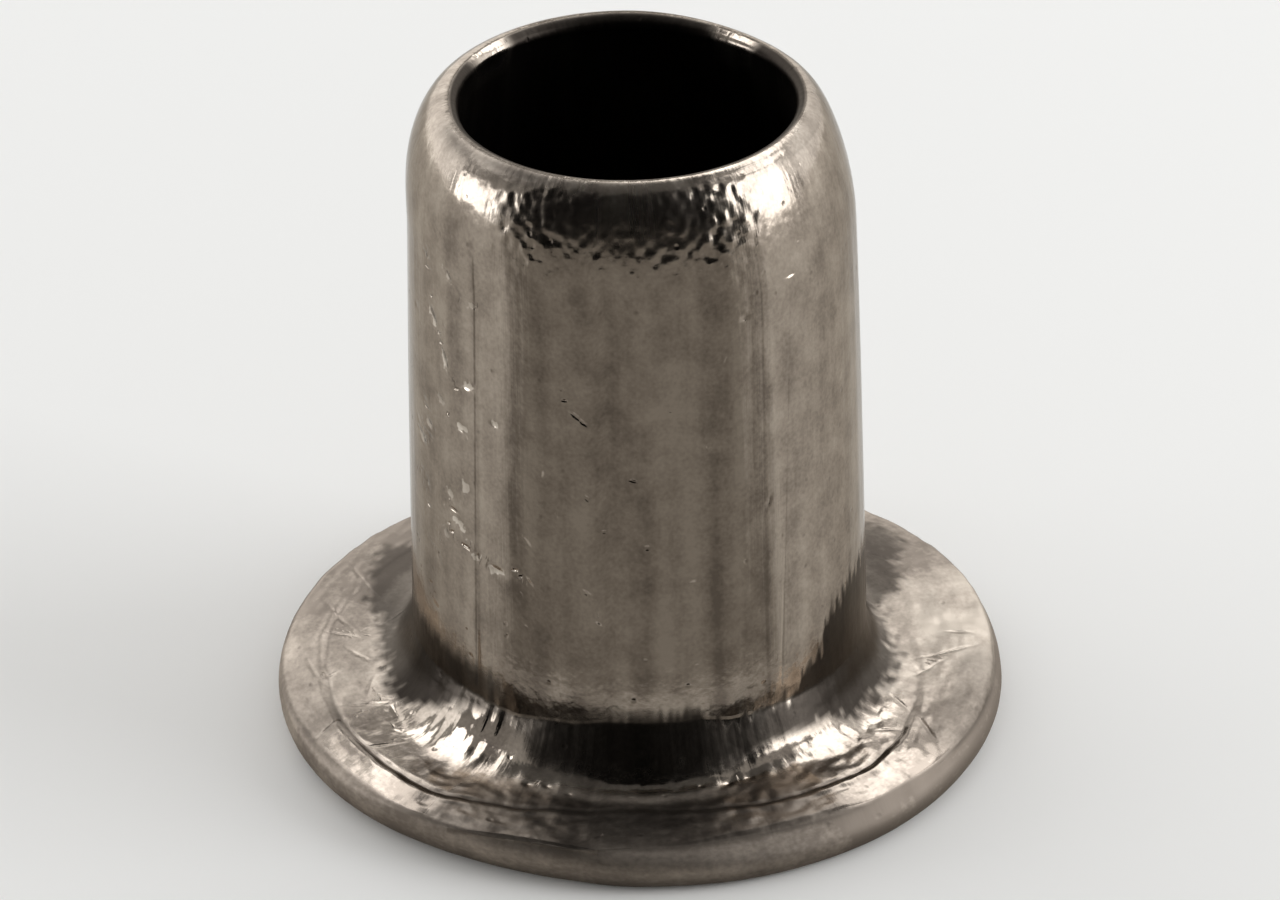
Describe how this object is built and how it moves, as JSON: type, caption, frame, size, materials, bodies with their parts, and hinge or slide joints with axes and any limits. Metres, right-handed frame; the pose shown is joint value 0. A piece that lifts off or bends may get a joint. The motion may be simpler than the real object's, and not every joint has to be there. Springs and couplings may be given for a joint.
{
  "type": "hollow rivet",
  "caption": "Drawn steel hollow rivet with a flat round head, an open tubular shank and a rolled-in nose that is flared over the joint when it is set.",
  "frame": {"origin": "centre of the head's flat underside, which the rivet stands on", "axes": "+Z along the shank towards the open nose; X and Y are across the round head and are alike"},
  "size_m": [0.008, 0.008, 0.0076],
  "materials": {
    "plated_steel": "nickel plating, semi-bright, with tumbling nicks and draw marks"
  },
  "bodies": {
    "root": {"rivet": "plated_steel"}
  },
  "joints": []
}
